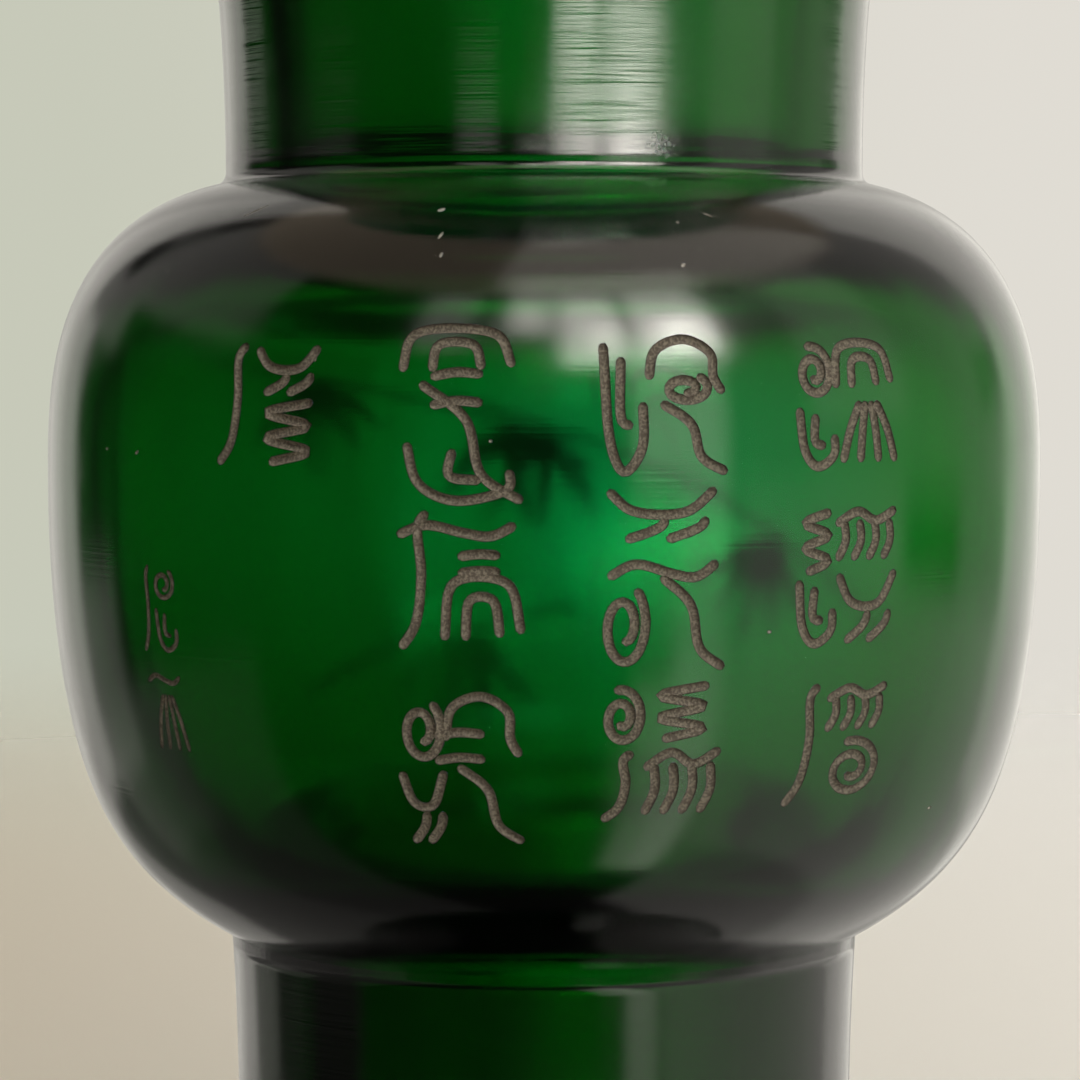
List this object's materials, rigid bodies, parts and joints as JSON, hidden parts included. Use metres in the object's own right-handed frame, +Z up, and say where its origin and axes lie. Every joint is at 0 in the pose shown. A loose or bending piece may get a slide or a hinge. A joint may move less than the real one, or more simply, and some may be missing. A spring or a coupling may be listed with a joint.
{
  "type": "carved glass vase",
  "caption": "Thick-walled emerald glass beaker vase with trumpet mouth, round bulb and spreading foot, wheel-cut with rows of made-up signs and a bamboo spray.",
  "frame": {"origin": "centre of the foot's underside, on the surface that the vase stands on", "axes": "+Z up along the vase's axis, -Y towards the carved signs, +Y towards the bamboo spray"},
  "size_m": [0.116, 0.116, 0.251],
  "materials": {
    "emerald_glass": "polished, see-through, with matte wheel-cut grooves"
  },
  "bodies": {
    "root": {"carved_glass_vase": "emerald_glass"}
  },
  "joints": []
}
